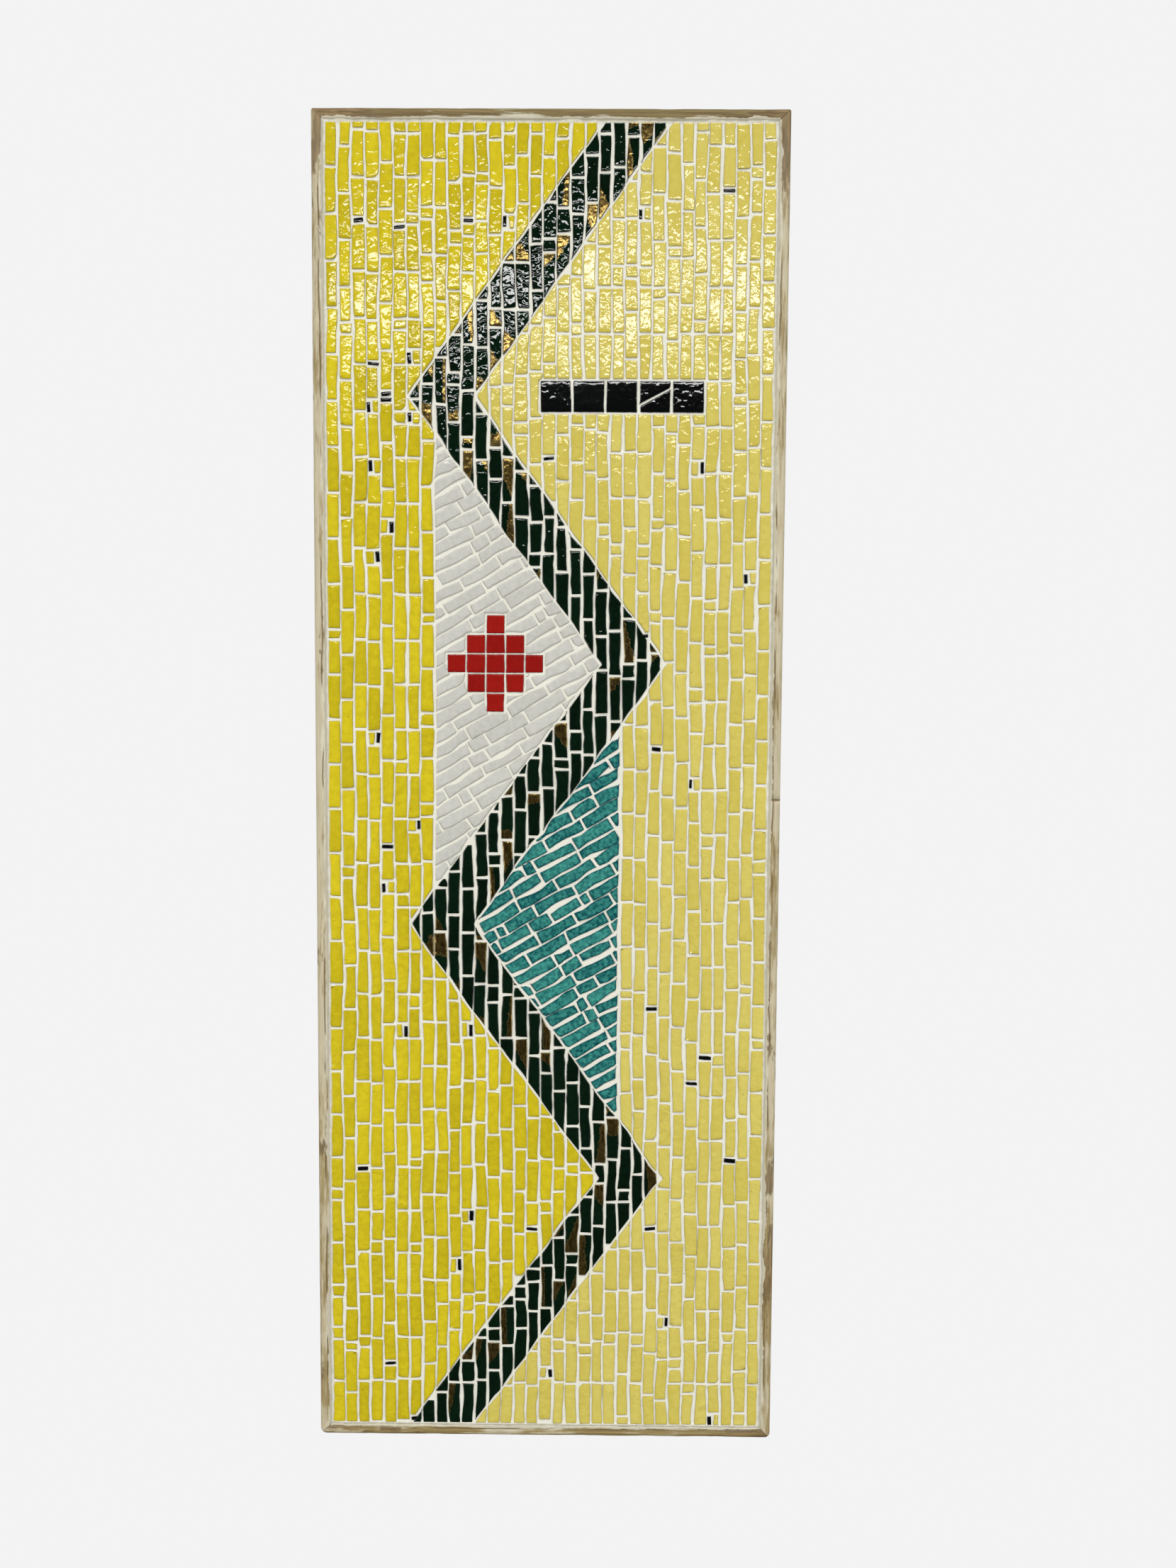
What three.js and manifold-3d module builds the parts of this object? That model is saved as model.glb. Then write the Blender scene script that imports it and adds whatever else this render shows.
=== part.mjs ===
// A framed mosaic wall panel: strips of glazed ceramic, cut by hand and set in pale grout,
// on a wooden board with four mitred rails round it. It is fixed or hung upright on a wall.
// Millimetres. X runs across the panel, Z up it and Y into the wall, so the mosaic faces -Y.
// The origin is the middle of the back, where the panel meets the wall.
import * as THREE from "three";
import { mergeGeometries, mergeVertices } from "three/addons/utils/BufferGeometryUtils.js";
import Module from "manifold-3d";

// The panel over its rails
const panelWidth = 510;
const panelHeight = 1460;

// Wooden rails
const railFace = 11.5; // width that shows from the front
const railLip = 1; // how far the rails stand proud of the tesserae
const railRound = 4; // radius of the worn outer edge in front
const railRoundSteps = 5; // facets of that edge
const mitreGap = 0.3; // open line in each corner joint

// Board behind the mosaic, flush with the back of the rails
const boardThickness = 15;
const boardClearance = 0.3; // to the rails, all round

// Grout
const bedThickness = 4; // between the board and the tesserae
const groutBorder = 2.2; // between the rails and the tesserae
const jointDepth = 0.8; // how far the grout stays below the faces of the tesserae
const pocketClearance = 0.3; // between the grout and the edge of each colour area

// Tesserae
const tesseraThickness = 5;
const coursePitch = 14.5; // one strip and one joint, measured across the strips
const stripLength = 46;
const sideJoint = 2.2; // between two strips that lie side by side
const endJoint = 3; // between two strips that lie end to end
const handCut = 1.1; // the most that a cut edge strays
const uprightRun = 3; // strips that are fused end to end in the upright courses
const slantedRun = 2; // strips that are fused end to end in the slanted courses
const smallestTessera = 30; // square millimetres: smaller offcuts are left out

// The zigzag band that climbs the panel and parts the two grounds
const zigzagLegs = 5;
const zigzagSwing = 210; // how far it travels to each side
const zigzagWidth = 72; // measured level
const zigzagShift = 12; // how far its middle lies to the left of the panel's

// Triangles that fill a bend of the zigzag, by the number of the bend from the bottom
const whiteBend = 3;
const whiteReach = 0.86; // share of the swing that the triangle takes up
const turquoiseBend = 2;
const turquoiseReach = 0.76;
const triangleSlope = 30; // degrees from level that their strips climb

// Stepped diamond of square tesserae inside the white triangle
const redSquare = 20;
const redJoint = 1.4;
const redRows = [1, 3, 5, 3, 1];
const redInset = 66; // its middle, from the upright side of the white triangle

// Level bar of square tesserae beside an upper bend
const blackSquare = 33;
const blackJoint = 2.6;
const blackCount = 5;
const blackBend = 4;
const blackInset = 70; // its left end, from the band's inner corner at that bend

// Levels, measured from the back of the panel towards the front
const bedBack = boardThickness;
const tesseraBack = bedBack + bedThickness;
const tesseraFace = tesseraBack + tesseraThickness;
const groutFace = tesseraFace - jointDepth;
const railDepth = tesseraFace + railLip;

const fieldWidth = panelWidth - 2 * railFace;
const fieldHeight = panelHeight - 2 * railFace;
const mosaicWidth = fieldWidth - 2 * groutBorder;
const mosaicHeight = fieldHeight - 2 * groutBorder;
const mosaicRight = mosaicWidth / 2;
const mosaicTop = mosaicHeight / 2;
const legHeight = mosaicHeight / zigzagLegs;
const stripPitch = stripLength + endJoint;
const overcut = 1; // how far a cutting solid passes the face that it cuts through
const courseSeeds = { deepGround: 12, paleGround: 24, band: 38, turquoise: 42, white: 54 };

const wasm = await Module();
wasm.setup();

const point = (x, z) => new THREE.Vector2(x, z);

// A closed geometry as a solid that can be joined and cut
function solid(geometry) {
  const bare = geometry.clone();
  bare.deleteAttribute("normal");
  bare.deleteAttribute("uv");
  const merged = mergeVertices(bare);
  return new wasm.Manifold(
    new wasm.Mesh({
      numProp: 3,
      vertProperties: merged.attributes.position.array,
      triVerts: new Uint32Array(merged.index.array),
    }),
  );
}

function geometryOf(made) {
  const { vertProperties, triVerts } = made.getMesh();
  const geometry = new THREE.BufferGeometry();
  geometry.setAttribute("position", new THREE.BufferAttribute(vertProperties, 3));
  geometry.setIndex(new THREE.BufferAttribute(triVerts, 1));
  const faceted = geometry.toNonIndexed();
  faceted.computeVertexNormals();
  return faceted;
}

// A flat outline seen from the front, given thickness between two levels
function slabGeometry(outline, back, front) {
  const geometry = new THREE.ExtrudeGeometry(new THREE.Shape(outline), {
    depth: front - back,
    bevelEnabled: false,
  });
  return geometry.rotateX(Math.PI / 2).translate(0, -back, 0);
}

const slab = (outline, back, front) => solid(slabGeometry(outline, back, front));

// An anticlockwise outline moved out by a distance, or in by a negative one, corners kept sharp
function grown(outline, distance) {
  return outline.map((corner, i) => {
    const arriving = corner.clone().sub(outline.at(i - 1)).normalize();
    const leaving = outline[(i + 1) % outline.length].clone().sub(corner).normalize();
    const outwards = point(arriving.y + leaving.y, -arriving.x - leaving.x);
    return corner.clone().addScaledVector(outwards, (2 * distance) / outwards.lengthSq());
  });
}

const rectangle = (left, bottom, right, top) => [
  point(left, bottom),
  point(right, bottom),
  point(right, top),
  point(left, top),
];

const centredRectangle = (width, height) =>
  rectangle(-width / 2, -height / 2, width / 2, height / 2);

// The same small uneven amounts every time, from 0 to 1
function unevenness(seed) {
  const factor = 1664525;
  const step = 1013904223;
  const range = 2 ** 32;
  let state = seed;
  return () => {
    state = (state * factor + step) % range;
    return state / range;
  };
}

// The zigzag's middle line, from the foot of the panel to its top
const bends = Array.from({ length: zigzagLegs + 1 }, (_, bend) =>
  point(
    ((bend % 2 ? 1 : -1) * zigzagSwing) / 2 - zigzagShift,
    -mosaicTop + bend * legHeight,
  ),
);
const bandEdge = (side) => bends.map((bend) => point(bend.x + (side * zigzagWidth) / 2, bend.y));

// A triangle that fills the inner angle of one bend, with its third side upright
function bendTriangle(bend, reach) {
  const side = bend % 2 ? -1 : 1;
  const tip = bandEdge(side)[bend];
  const depth = side * reach * zigzagSwing;
  const rise = reach * legHeight;
  const corners = [tip, point(tip.x + depth, tip.y - rise), point(tip.x + depth, tip.y + rise)];
  return side > 0 ? corners : [corners[0], corners[2], corners[1]];
}

// The outline of rows of squares that are centred on one upright line
function steppedOutline(rows, pitch, centre) {
  const top = centre.y + (rows.length * pitch) / 2;
  const rightSide = rows.flatMap((count, row) => [
    point((count * pitch) / 2, top - row * pitch),
    point((count * pitch) / 2, top - (row + 1) * pitch),
  ]);
  const leftSide = rightSide.map((corner) => point(-corner.x, corner.y));
  return [...leftSide, ...rightSide.reverse()].map((corner) =>
    point(centre.x + corner.x, corner.y),
  );
}

const areas = {
  deepGround: [
    point(-mosaicRight, -mosaicTop),
    ...bandEdge(-1),
    point(-mosaicRight, mosaicTop),
  ],
  paleGround: [
    point(mosaicRight, mosaicTop),
    ...bandEdge(1).reverse(),
    point(mosaicRight, -mosaicTop),
  ],
  band: [...bandEdge(1), ...bandEdge(-1).reverse()],
  white: bendTriangle(whiteBend, whiteReach),
  turquoise: bendTriangle(turquoiseBend, turquoiseReach),
};

const redPitch = redSquare + redJoint;
const redCentre = point(areas.white[1].x + redInset, areas.white[0].y);
areas.red = steppedOutline(redRows, redPitch, redCentre);

const blackPitch = blackSquare + blackJoint;
const blackLeft = bandEdge(1)[blackBend].x + blackInset;
const blackLevel = bends[blackBend].y;
areas.black = rectangle(
  blackLeft,
  blackLevel - blackPitch / 2,
  blackLeft + blackCount * blackPitch,
  blackLevel + blackPitch / 2,
);

// What lies within each area and is cut out of it
const inlays = { deepGround: ["white"], paleGround: ["turquoise", "black"], white: ["red"] };

// An area with a gap to its neighbours, from the back of the tesserae to beyond their faces
function areaSolid(name, gap) {
  const whole = slab(grown(areas[name], -gap), tesseraBack, tesseraFace + overcut);
  const cutter = (inlay) =>
    slab(grown(areas[inlay], gap), tesseraBack - overcut, tesseraFace + 2 * overcut);
  return (inlays[name] ?? []).reduce((rest, inlay) => rest.subtract(cutter(inlay)), whole);
}

// Runs of strips in courses over a square of the given half size, turned about a centre
function courseOutlines({ name, centre, reach, degrees, pitch, strips }) {
  const uneven = unevenness(courseSeeds[name]);
  const runPitch = strips * stripPitch;
  const turn = THREE.MathUtils.degToRad(degrees);
  const outlines = [];
  for (let across = -reach; across < reach; across += pitch) {
    const start = -reach - uneven() * runPitch;
    for (let along = start; along < reach; along += runPitch) {
      const stray = () => sideJoint / 2 + (uneven() - 0.5) * handCut;
      outlines.push(
        [
          point(across + stray(), along + endJoint / 2),
          point(across + pitch - stray(), along + endJoint / 2),
          point(across + pitch - stray(), along + runPitch - endJoint / 2),
          point(across + stray(), along + runPitch - endJoint / 2),
        ].map((corner) => corner.rotateAround(point(0, 0), turn).add(centre)),
      );
    }
  }
  return outlines;
}

// Squares in rows that are centred on one upright line
function squareOutlines(rows, pitch, size, centre) {
  const top = centre.y + ((rows.length - 1) * pitch) / 2;
  return rows.flatMap((count, row) =>
    Array.from({ length: count }, (_, i) => {
      const x = centre.x + (i - (count - 1) / 2) * pitch;
      const z = top - row * pitch;
      return rectangle(x - size / 2, z - size / 2, x + size / 2, z + size / 2);
    }),
  );
}

// The tesserae of one area, standing proud of the grout that joins them
function tesserae(name, outlines) {
  const area = areaSolid(name, sideJoint / 2);
  const blockGeometry = (outline) => slabGeometry(outline, tesseraBack + jointDepth, tesseraFace);
  const height = tesseraThickness - jointDepth;
  const blocks = outlines
    .map(blockGeometry)
    .filter((block) => solid(block).intersect(area).volume() > smallestTessera * height);
  const joints = slab(
    centredRectangle(panelWidth, panelHeight),
    tesseraBack - overcut,
    groutFace,
  );
  return joints.add(solid(mergeGeometries(blocks))).intersect(area);
}

const uprightBlocks = (name) =>
  courseOutlines({
    name,
    centre: point((mosaicHeight - mosaicWidth) / 2, 0),
    reach: mosaicTop,
    degrees: 0,
    pitch: mosaicWidth / Math.round(mosaicWidth / coursePitch),
    strips: uprightRun,
  });

const slantedBlocks = (name) =>
  courseOutlines({
    name,
    centre: new THREE.Box2().setFromPoints(areas[name]).getCenter(point(0, 0)),
    reach: legHeight,
    degrees: triangleSlope - 90,
    pitch: coursePitch,
    strips: slantedRun,
  });

// Grout bed over the whole field, with a pocket for each colour area
function groutBed() {
  const inset = 2 * boardClearance;
  const field = slab(centredRectangle(fieldWidth - inset, fieldHeight - inset), bedBack, groutFace);
  return Object.keys(areas).reduce(
    (rest, name) => rest.subtract(areaSolid(name, sideJoint / 2 - pocketClearance)),
    field,
  );
}

const board = () =>
  slab(
    centredRectangle(fieldWidth - 2 * boardClearance, fieldHeight - 2 * boardClearance),
    0,
    boardThickness,
  );

// The left-hand rail of a frame that measures across by along, with both ends mitred
function rail(across, along) {
  const outside = -across / 2;
  const inside = outside + railFace;
  const section = new THREE.Shape();
  section.moveTo(outside, 0);
  section.lineTo(outside, -railDepth + railRound);
  section.absarc(outside + railRound, -railDepth + railRound, railRound, Math.PI, 1.5 * Math.PI);
  section.lineTo(inside, -railDepth);
  section.lineTo(inside, 0);
  const length = new THREE.ExtrudeGeometry(section, {
    depth: along,
    bevelEnabled: false,
    curveSegments: railRoundSteps,
  }).translate(0, 0, -along / 2);
  const end = along / 2 - mitreGap;
  const mitred = [
    point(outside, -end),
    point(inside, -end + railFace),
    point(inside, end - railFace),
    point(outside, end),
  ];
  return solid(length).intersect(slab(mitred, -overcut, railDepth + overcut));
}

const finishes = {
  wood: { color: 0x8d7f63, roughness: 0.8 },
  plywood: { color: 0xb89a6b, roughness: 0.85 },
  grout: { color: 0xe6e2d2, roughness: 0.9 },
  deepYellow: { color: 0xd9bd12, roughness: 0.2 },
  paleYellow: { color: 0xdccb63, roughness: 0.25 },
  darkGreen: { color: 0x0d2a1c, roughness: 0.15 },
  turquoise: { color: 0x1f8f93, roughness: 0.25 },
  white: { color: 0xd6d6d2, roughness: 0.3 },
  red: { color: 0xa8120f, roughness: 0.3 },
  black: { color: 0x08080a, roughness: 0.2 },
};

const panel = new THREE.Group();

function addPiece(name, made, finish) {
  const material = new THREE.MeshStandardMaterial({ metalness: 0, ...finishes[finish] });
  const mesh = new THREE.Mesh(geometryOf(made), material);
  mesh.name = name;
  panel.add(mesh);
  return mesh;
}

addPiece("backing_board", board(), "plywood");
addPiece("grout_bed", groutBed(), "grout");

addPiece("rail_left", rail(panelWidth, panelHeight), "wood");
addPiece("rail_right", rail(panelWidth, panelHeight), "wood").rotation.y = Math.PI;
addPiece("rail_top", rail(panelHeight, panelWidth), "wood").rotation.y = Math.PI / 2;
addPiece("rail_bottom", rail(panelHeight, panelWidth), "wood").rotation.y = -Math.PI / 2;

const upright = (name) => tesserae(name, uprightBlocks(name));
const slanted = (name) => tesserae(name, slantedBlocks(name));

addPiece("tesserae_deep_yellow", upright("deepGround"), "deepYellow");
addPiece("tesserae_pale_yellow", upright("paleGround"), "paleYellow");
addPiece("tesserae_dark_green", upright("band"), "darkGreen");
addPiece("tesserae_turquoise", slanted("turquoise"), "turquoise");
addPiece("tesserae_white", slanted("white"), "white");
addPiece(
  "tesserae_red",
  tesserae("red", squareOutlines(redRows, redPitch, redSquare, redCentre)),
  "red",
);
addPiece(
  "tesserae_black",
  tesserae(
    "black",
    squareOutlines(
      [blackCount],
      blackPitch,
      blackSquare,
      point(blackLeft + (blackCount * blackPitch) / 2, blackLevel),
    ),
  ),
  "black",
);

export default panel;
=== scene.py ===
"""A framed mosaic wall panel: hand-cut glazed strips in pale grout, edged by mitred rails."""

import math
import random

import bpy
import numpy as np
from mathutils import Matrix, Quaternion, Vector, noise


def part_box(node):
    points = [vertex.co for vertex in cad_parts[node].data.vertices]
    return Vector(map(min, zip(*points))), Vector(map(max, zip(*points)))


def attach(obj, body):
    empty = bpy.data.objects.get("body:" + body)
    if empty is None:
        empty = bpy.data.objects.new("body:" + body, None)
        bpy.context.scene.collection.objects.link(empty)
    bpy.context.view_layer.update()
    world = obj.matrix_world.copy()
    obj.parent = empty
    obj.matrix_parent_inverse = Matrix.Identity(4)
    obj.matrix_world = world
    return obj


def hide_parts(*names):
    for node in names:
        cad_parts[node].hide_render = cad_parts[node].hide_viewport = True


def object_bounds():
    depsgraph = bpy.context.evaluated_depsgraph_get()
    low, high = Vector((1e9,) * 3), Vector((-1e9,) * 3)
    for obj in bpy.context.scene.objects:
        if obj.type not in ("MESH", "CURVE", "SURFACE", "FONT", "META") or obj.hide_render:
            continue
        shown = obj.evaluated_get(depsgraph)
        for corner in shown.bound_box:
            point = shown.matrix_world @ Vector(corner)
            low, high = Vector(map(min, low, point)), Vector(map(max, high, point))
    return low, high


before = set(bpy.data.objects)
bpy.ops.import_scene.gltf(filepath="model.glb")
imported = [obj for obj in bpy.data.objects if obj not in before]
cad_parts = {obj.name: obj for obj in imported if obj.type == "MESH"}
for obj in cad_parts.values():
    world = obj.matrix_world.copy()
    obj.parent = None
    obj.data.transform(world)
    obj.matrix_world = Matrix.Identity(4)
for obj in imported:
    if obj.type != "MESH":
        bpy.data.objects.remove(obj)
cad_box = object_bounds()

# The camera stands a little above the middle of the panel, an arm's length and a half away, and
# leans down slightly, so that the panel narrows towards its foot.
camera_lens = 32.0
camera_distance = 1.5517
camera_azimuth = math.radians(0.43)
camera_elevation = math.radians(4.19)
camera_roll = math.radians(0.37)
camera_target = Vector((0.0439, 0.0, 0.0106))

towards_camera = Vector(
    (
        math.sin(camera_azimuth) * math.cos(camera_elevation),
        -math.cos(camera_azimuth) * math.cos(camera_elevation),
        math.sin(camera_elevation),
    )
)
camera = bpy.data.objects.new("camera", bpy.data.cameras.new("camera"))
camera.data.lens = camera_lens
camera.location = camera_target + towards_camera * camera_distance
camera.rotation_mode = "QUATERNION"
camera.rotation_quaternion = (-towards_camera).to_track_quat("-Z", "Y") @ Quaternion(
    (0, 0, 1), camera_roll
)
bpy.context.scene.collection.objects.link(camera)
bpy.context.scene.camera = camera
bpy.context.scene.view_settings.view_transform = "Standard"


# The studio: a pale backdrop and floor of one tone, soft lights at both sides, a skylight that
# shades the lower edges of the tesserae, a long lamp that only makes highlights in the upper
# glazes, and two lamps behind for the back of the panel.
class Shade:
    """A shader socket. Arithmetic on it adds Math nodes, and make() adds any other node beside it."""

    def __init__(self, tree, socket=None):
        self.tree = tree
        self.socket = socket

    def make(self, kind, settings=None, sockets=None, out=0):
        """A node of a kind, with its settings, then the values or links of its sockets."""
        node = self.tree.nodes.new("ShaderNode" + kind)
        for name, value in (settings or {}).items():
            setattr(node, name, value)
        for name, value in (sockets or {}).items():
            if isinstance(value, Shade):
                self.tree.links.new(value.socket, node.inputs[name])
            elif node.inputs[name].type == "RGBA":
                node.inputs[name].default_value = (*value, 1.0)
            else:
                node.inputs[name].default_value = value
        return Shade(self.tree, node.outputs[out] if node.outputs else None)

    def math(self, operation, first, second):
        return self.make("Math", {"operation": operation}, {0: first, 1: second})

    def __add__(self, other):
        return self.math("ADD", self, other)

    def __sub__(self, other):
        return self.math("SUBTRACT", self, other)

    def __rsub__(self, other):
        return self.math("SUBTRACT", other, self)

    def __mul__(self, other):
        return self.math("MULTIPLY", self, other)

    def __abs__(self):
        return self.make("Math", {"operation": "ABSOLUTE"}, {0: self})

    __radd__ = __add__
    __rmul__ = __mul__


def blend(paint, factor, first, second):
    """A colour between two, by a factor from 0 to 1."""
    sockets = {"Factor": factor, 6: first, 7: second}  # 6 and 7 hold the two colours
    return paint.make("Mix", {"data_type": "RGBA"}, sockets, out=2)


backdrop_tone = (0.896, 0.896, 0.896)
room_tone = (0.12, 0.12, 0.125)
mirrored_room = (0.03, 0.03, 0.032)  # what the glazes mirror where no lamp is

world = bpy.data.worlds.new("studio")
bpy.context.scene.world = world
world.use_nodes = True
world.node_tree.nodes.clear()
air = Shade(world.node_tree)
air_tone = blend(air, air.make("LightPath", out="Is Glossy Ray"), room_tone, mirrored_room)
air_tone = blend(air, air.make("LightPath", out="Is Camera Ray"), air_tone, backdrop_tone)
air.make("OutputWorld", None, {"Surface": air.make("Background", None, {"Color": air_tone})})

floor_drop = 0.16
floor_half = 30.0
floor_level = cad_box[0].z - floor_drop
floor_mesh = bpy.data.meshes.new("floor")
floor_mesh.from_pydata(
    [(x * floor_half, y * floor_half, floor_level) for x, y in ((-1, -1), (1, -1), (1, 1), (-1, 1))],
    [],
    [(0, 1, 2, 3)],
)
floor = bpy.data.objects.new("floor", floor_mesh)
bpy.context.scene.collection.objects.link(floor)
floor_paint = bpy.data.materials.new("floor_paint")
floor_paint.use_nodes = True
floor_paint.node_tree.nodes.clear()
glow = Shade(floor_paint.node_tree)
glow.make("OutputMaterial", None, {"Surface": glow.make("Emission", None, {"Color": backdrop_tone})})
floor_mesh.materials.append(floor_paint)
for ray in ("diffuse", "glossy", "transmission", "shadow"):
    setattr(floor, "visible_" + ray, False)


def lamp(name, place, size, watts, aim=(0, 0, 0), only_sparkles=False):
    """A rectangular lamp that faces a point on the panel."""
    data = bpy.data.lights.new(name, "AREA")
    data.shape = "RECTANGLE"
    data.size, data.size_y = size
    data.energy = watts
    made = bpy.data.objects.new(name, data)
    made.location = place
    made.rotation_mode = "QUATERNION"
    made.rotation_quaternion = (Vector(aim) - Vector(place)).to_track_quat("-Z", "Y")
    made.visible_diffuse = not only_sparkles
    bpy.context.scene.collection.objects.link(made)


lamp("side_left", (-3.4, -2.4, -0.4), size=(2.4, 2.7), watts=86)
lamp("side_right", (3.5, -2.4, -0.4), size=(2.4, 2.7), watts=90)
lamp("long_lamp", (0.1, -1.5, 0.93), size=(1.5, 0.1), watts=8, aim=(0, 0, 0.35), only_sparkles=True)
lamp("skylight", (0.0, -7.2, 12.6), size=(7.2, 3.0), watts=1600)
lamp("back_left", (-1.6, 2.2, 1.0), size=(1.6, 1.6), watts=34)
lamp("back_right", (1.8, 2.0, -0.2), size=(1.6, 1.6), watts=22)


# The backing board is plain softwood plywood, cut square and dropped between the rails. It only
# shows from behind, where its face grain runs up the panel.
def material(name):
    """An empty material, and the place where its nodes are made."""
    made = bpy.data.materials.new(name)
    made.use_nodes = True
    made.node_tree.nodes.clear()
    return made, Shade(made.node_tree)


def surface(paint, height, height_mm, **sockets):
    """Ends a material in one Principled shader, with a bump from a height between 0 and 1."""
    sockets = {name.replace("_", " "): value for name, value in sockets.items()}
    sockets["Normal"] = paint.make("Bump", None, {"Distance": height_mm / 1000, "Height": height})
    paint.make("OutputMaterial", None, {"Surface": paint.make("BsdfPrincipled", None, sockets)})


def spot(paint, stretch=(1.0, 1.0, 1.0)):
    """The place on the object in metres, squeezed along some axes so that a pattern stretches there."""
    here = paint.make("TexCoord", out="Object")
    return paint.make("VectorMath", {"operation": "MULTIPLY"}, {0: here, 1: stretch})


def clouds(paint, scale, detail=3.0, place=None, roughness=0.5, swirl=0.0):
    """Soft noise from 0 to 1, with its scale in patches to the metre."""
    sockets = {"Vector": place or spot(paint), "Scale": scale, "Detail": detail}
    sockets |= {"Roughness": roughness, "Distortion": swirl}
    return paint.make("TexNoise", None, sockets)


def step(paint, value, low, high):
    """0 below low, 1 above high, and smooth between them."""
    sockets = {"Value": value, "From Min": low, "From Max": high}
    return paint.make("MapRange", {"interpolation_type": "SMOOTHSTEP"}, sockets)


plywood, ply = material("plywood")
ply_grain = clouds(ply, 60, 6, spot(ply, (1.0, 1.0, 0.04)), 0.65)
ply_stain = clouds(ply, 5, 3)
ply_pores = clouds(ply, 900, 2, spot(ply, (1.0, 1.0, 0.06)))
ply_tone = blend(ply, step(ply, ply_grain, 0.35, 0.68), (0.52, 0.37, 0.20), (0.36, 0.23, 0.11))
ply_tone = blend(ply, step(ply, ply_stain, 0.5, 0.75) * 0.35, ply_tone, (0.25, 0.18, 0.11))
surface(
    ply,
    ply_grain + ply_pores * 0.5,
    height_mm=0.25,
    Base_Color=ply_tone,
    Roughness=0.72 + 0.16 * ply_stain,
)
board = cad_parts["backing_board"]
board.data.materials.clear()
board.data.materials.append(plywood)

# The rails are thin wooden strips, nailed round the board, mitred at the corners and limewashed in
# front. Handling has rounded and bruised their edges and worn the limewash to the grain, most of all
# on the top rail and at the upper corners. The right-hand rail is spliced at mid-height.
mm = 0.001
rail_pace = 6.5 * mm  # between two sections of the mesh
rail_end_steps = (0.7 * mm, 1.5 * mm, 2.6 * mm, 4.0 * mm, 5.6 * mm, 7.8 * mm)
rail_outer_round = 4.2 * mm
rail_inner_round = 0.9 * mm
rail_wear = ((26, 1.0), (90, 0.6))  # waves of wear to the metre, and their strength
rail_dent = 0.45 * mm
side_dent = 0.35  # of a dent in front
splice_level = -4 * mm
splice_open = 0.5 * mm
splice_groove = (-1.6, -0.6, 0.6, 1.6)  # levels of its sides, in openings from its middle
corner_rounds = {(-1, 1): 3 * mm, (1, 1): 2.4 * mm, (-1, -1): 7 * mm, (1, -1): 6 * mm}


def rounded_section(width, depth, outer, inner):
    """Points round a rail's section, as how far across from the outside and how far forward."""
    points = [(0.0, 0.0), (0.0, 0.35 * depth), (0.0, 0.7 * depth)]
    for angle in np.linspace(0, math.pi / 2, 7):
        points.append((outer * (1 - math.cos(angle)), depth - outer * (1 - math.sin(angle))))
    points += [(0.48 * width, depth), (0.62 * width, depth), (0.78 * width, depth)]
    for angle in np.linspace(0, math.pi / 2, 4):
        points.append((width - inner * (1 - math.sin(angle)), depth - inner * (1 - math.cos(angle))))
    return points + [(width, 0.7 * depth), (width, 0.0)]


def mesh_piece(name, vertices, faces, paint):
    """A smooth mesh on the panel's one body."""
    mesh = bpy.data.meshes.new(name)
    mesh.from_pydata(vertices, [], faces)
    mesh.validate()
    mesh.materials.append(paint)
    mesh.shade_smooth()
    made = bpy.data.objects.new(name, mesh)
    bpy.context.scene.collection.objects.link(made)
    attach(made, "root")
    return made


def lofted(sections):
    """Faces of a closed body through rings of the same number of points, with both ends capped."""
    count = len(sections[0])
    faces = []
    for ring in range(len(sections) - 1):
        for i in range(count):
            a, b = ring * count + i, ring * count + (i + 1) % count
            faces.append((a, b, b + count, a + count))
    last = (len(sections) - 1) * count
    faces.append(tuple(range(count))[::-1])
    faces.append(tuple(range(last, last + count)))
    return faces


def worn_corner(place, across):
    """A place on a rail, so far across it, pulled in round the worn outer corner of the panel."""
    rounding = corner_rounds[place.x > 0 or -1, place.z > 0 or -1]
    centre_x = cad_box[1].x - rounding
    centre_z = cad_box[1].z - rounding
    beyond_x = abs(place.x) - centre_x
    beyond_z = abs(place.z) - centre_z
    reach = rounding - across
    if reach <= 0 or beyond_x <= 0 or beyond_z <= 0 or math.hypot(beyond_x, beyond_z) <= reach:
        return
    pull = reach / math.hypot(beyond_x, beyond_z)
    place.x = math.copysign(centre_x + beyond_x * pull, place.x)
    place.z = math.copysign(centre_z + beyond_z * pull, place.z)


def rail_piece(node, side, upright, paint, splice=None):
    """One rail. Side is -1 on the left or at the foot, and 1 on the right or at the top."""
    low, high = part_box(node)
    long_axis, short_axis = (2, 0) if upright else (0, 2)
    half = high[long_axis]
    outside = high[short_axis] if side > 0 else low[short_axis]
    width = high[short_axis] - low[short_axis]
    depth = high.y - low.y
    section = rounded_section(width, depth, rail_outer_round, rail_inner_round)
    inner_reach = half - rail_end_steps[-1]
    levels = list(np.linspace(-inner_reach, inner_reach, round(2 * inner_reach / rail_pace)))
    levels += [sign * (half - end) for end in (0.0, *rail_end_steps[:-1]) for sign in (-1, 1)]
    if splice is not None:
        levels = [level for level in levels if abs(level - splice) > 2 * splice_open]
        levels += [splice + share * splice_open for share in splice_groove]
    rings = []
    for level in sorted(levels):
        ring = []
        for across, forward in section:
            place = Vector((0, -forward, 0))
            place[long_axis] = level * (half - across) / half
            place[short_axis] = outside - side * across
            worn = sum(strength * noise.noise(place * density) for density, strength in rail_wear)
            dent = max(0.0, worn) * rail_dent * (1.0 if forward > 0.75 * depth else side_dent)
            if splice is not None and abs(level - splice) < splice_open:
                dent += splice_open
            if 0 < across < width and forward > 0:
                place.y += dent
                place[short_axis] -= side * dent
            worn_corner(place, across)
            ring.append(place)
        rings.append(ring)
    faces = lofted(rings)
    if (side > 0) == upright:
        faces = [face[::-1] for face in faces]
    made = mesh_piece("worn_" + node, [place for ring in rings for place in ring], faces, paint)
    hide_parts(node)


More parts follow.
